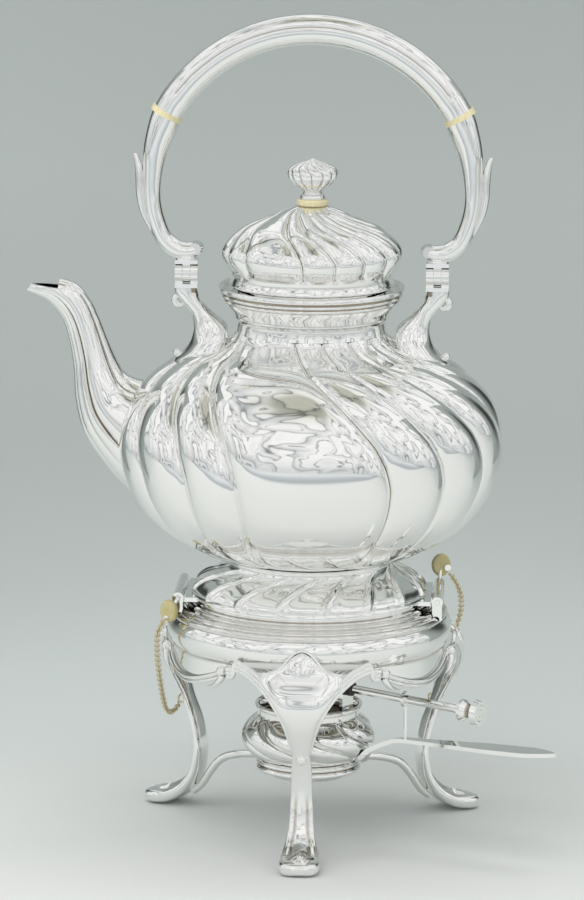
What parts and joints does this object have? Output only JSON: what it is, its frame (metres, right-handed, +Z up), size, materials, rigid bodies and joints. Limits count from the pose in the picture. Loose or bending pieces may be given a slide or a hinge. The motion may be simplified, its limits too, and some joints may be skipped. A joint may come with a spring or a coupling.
{
  "type": "spirit kettle on stand",
  "caption": "Kettle with hinged lid, swan-neck spout and falling bail, hinged to a three-legged stand that holds a spirit lamp with a wick regulator.",
  "frame": {"origin": "centre of the three feet, on the surface that they stand on", "axes": "+Z up; -X towards the spout; -Y towards the front leg; +X towards the side where the regulator reaches out"},
  "size_m": [0.241, 0.175, 0.3726],
  "materials": {
    "silver": "polished silver",
    "chain": "polished, slightly golden",
    "ivory": "polished ivory",
    "dark_collar": "dark, dull",
    "wick": "woven cotton"
  },
  "bodies": {
    "stand": {"stand_ring": "silver", "stand_band": "silver", "band_border": "silver", "border_balls": "silver", "leg_front": "silver", "leg_right": "silver", "leg_left": "silver", "lamp_holder": "silver", "stretchers": "silver", "left_stand_knuckles": "silver", "right_stand_knuckles": "silver", "chain_eyes": "chain", "left_chain": "chain", "right_chain": "chain"},
    "kettle": {"kettle_body": "silver", "waist_ring": "silver", "kettle_foot": "silver", "neck_collar": "silver", "spout": "silver", "left_socket": "silver", "right_socket": "silver", "left_lower_leaf": "silver", "right_lower_leaf": "silver", "lid_hinge_seat": "silver", "left_kettle_leaf": "silver", "right_kettle_leaf": "silver"},
    "bail": {"left_upper_leaf": "silver", "right_upper_leaf": "silver", "left_bail_pin": "silver", "right_bail_pin": "silver", "left_arm": "silver", "right_arm": "silver", "left_bail_insulator": "ivory", "right_bail_insulator": "ivory", "grip": "silver"},
    "lid": {"lid": "silver", "lid_bezel": "silver", "knob_insulator": "ivory", "knob": "silver", "knob_nut": "silver", "lid_hinge_leaf": "silver", "lid_hinge_pin": "silver"},
    "left_pin": {"left_pin": "silver", "left_thumbpiece": "ivory", "left_thumb_rivet": "silver"},
    "right_pin": {"right_pin": "silver", "right_thumbpiece": "ivory", "right_thumb_rivet": "silver"},
    "lamp": {"lamp_bowl": "silver", "lamp_rim": "silver", "burner_plate": "silver", "wick_tube": "silver", "rod_bracket": "silver", "rod_bearing": "dark_collar", "lamp_handle": "silver", "rod_eye": "silver"},
    "regulator": {"regulator_rod": "silver", "regulator_knob": "silver"},
    "wick": {"wick": "wick"}
  },
  "joints": [
    {"name": "kettle_tilt", "type": "hinge", "parent": "stand", "child": "kettle", "pos_m": [-0.0583, 0, 0.1104], "axis": [0, -1, 0], "range_deg": [0, 55]},
    {"name": "left_pin_pull", "type": "slide", "parent": "stand", "child": "left_pin", "axis": [0, -1, 0], "range_m": [0, 0.044], "deforming": ["left_chain"]},
    {"name": "right_pin_pull", "type": "slide", "parent": "stand", "child": "right_pin", "axis": [0, 1, 0], "range_m": [0, 0.044], "deforming": ["right_chain"]},
    {"name": "bail_swing", "type": "hinge", "parent": "kettle", "child": "bail", "pos_m": [0, 0, 0.2555], "axis": [1, 0, 0], "range_deg": [-90, 90]},
    {"name": "lid_open", "type": "hinge", "parent": "kettle", "child": "lid", "pos_m": [0, 0.0445, 0.2538], "axis": [-1, 0, 0], "range_deg": [0, 95]},
    {"name": "lamp_lift", "type": "slide", "parent": "stand", "child": "lamp", "axis": [0, 0, 1], "range_m": [0, 0.007]},
    {"name": "regulator_turn", "type": "hinge", "parent": "lamp", "child": "regulator", "pos_m": [0, 0, 0.0686], "axis": [0.8657, -0.4998, -0.0262], "range_deg": [-40, 120]},
    {"name": "wick_slide", "type": "slide", "parent": "lamp", "child": "wick", "axis": [0, 0, 1], "range_m": [-0.0025, 0.0066]}
  ],
  "couplings": [
    {"joint": "wick_slide", "follows": "regulator_turn", "m_per_rad": 0.003}
  ]
}
